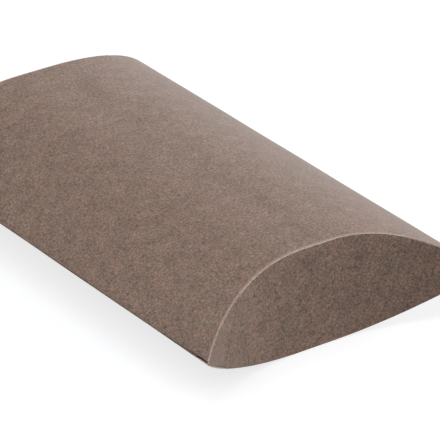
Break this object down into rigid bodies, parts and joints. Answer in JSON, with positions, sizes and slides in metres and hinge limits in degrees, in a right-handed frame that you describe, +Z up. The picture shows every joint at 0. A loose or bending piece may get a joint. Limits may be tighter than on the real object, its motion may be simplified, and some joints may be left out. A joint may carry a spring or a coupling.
{
  "type": "favor box",
  "caption": "Pillow-shaped favor box folded from kraft board, with bulging panels, a glued long side and curved end flaps that open.",
  "frame": {"origin": "under the middle of the box, on the surface it lies on", "axes": "+X across the width, away from the glued side; +Y along the length, from the front end to the rear end; +Z up"},
  "size_m": [0.135, 0.25, 0.046],
  "materials": {
    "kraft_board": "matte, uncoated",
    "kraft_crease": "matte, pressed along the score",
    "glue": "dried white glue"
  },
  "bodies": {
    "carton": {"top_panel": "kraft_board", "bottom_panel": "kraft_board", "side_fold": "kraft_crease", "seam_fold": "kraft_crease", "glue_tab": "kraft_board", "glue_line": "glue", "front_top_crease": "kraft_crease", "front_bottom_crease": "kraft_crease", "rear_top_crease": "kraft_crease", "rear_bottom_crease": "kraft_crease"},
    "front_outer": {"front_outer_flap": "kraft_board"},
    "front_inner": {"front_inner_flap": "kraft_board"},
    "rear_outer": {"rear_outer_flap": "kraft_board"},
    "rear_inner": {"rear_inner_flap": "kraft_board"}
  },
  "joints": [
    {"name": "front_outer_fold", "type": "hinge", "parent": "carton", "child": "front_outer", "pos_m": [0, -0.109, 0.0062], "axis": [1, 0, 0], "range_deg": [0, 90]},
    {"name": "front_inner_fold", "type": "hinge", "parent": "carton", "child": "front_inner", "pos_m": [0, -0.10155, 0.04525], "axis": [1, 0, 0], "range_deg": [0, 70]},
    {"name": "rear_outer_fold", "type": "hinge", "parent": "carton", "child": "rear_outer", "pos_m": [0, 0.109, 0.0062], "axis": [-1, 0, 0], "range_deg": [0, 90]},
    {"name": "rear_inner_fold", "type": "hinge", "parent": "carton", "child": "rear_inner", "pos_m": [0, 0.10155, 0.04525], "axis": [-1, 0, 0], "range_deg": [0, 70]}
  ]
}
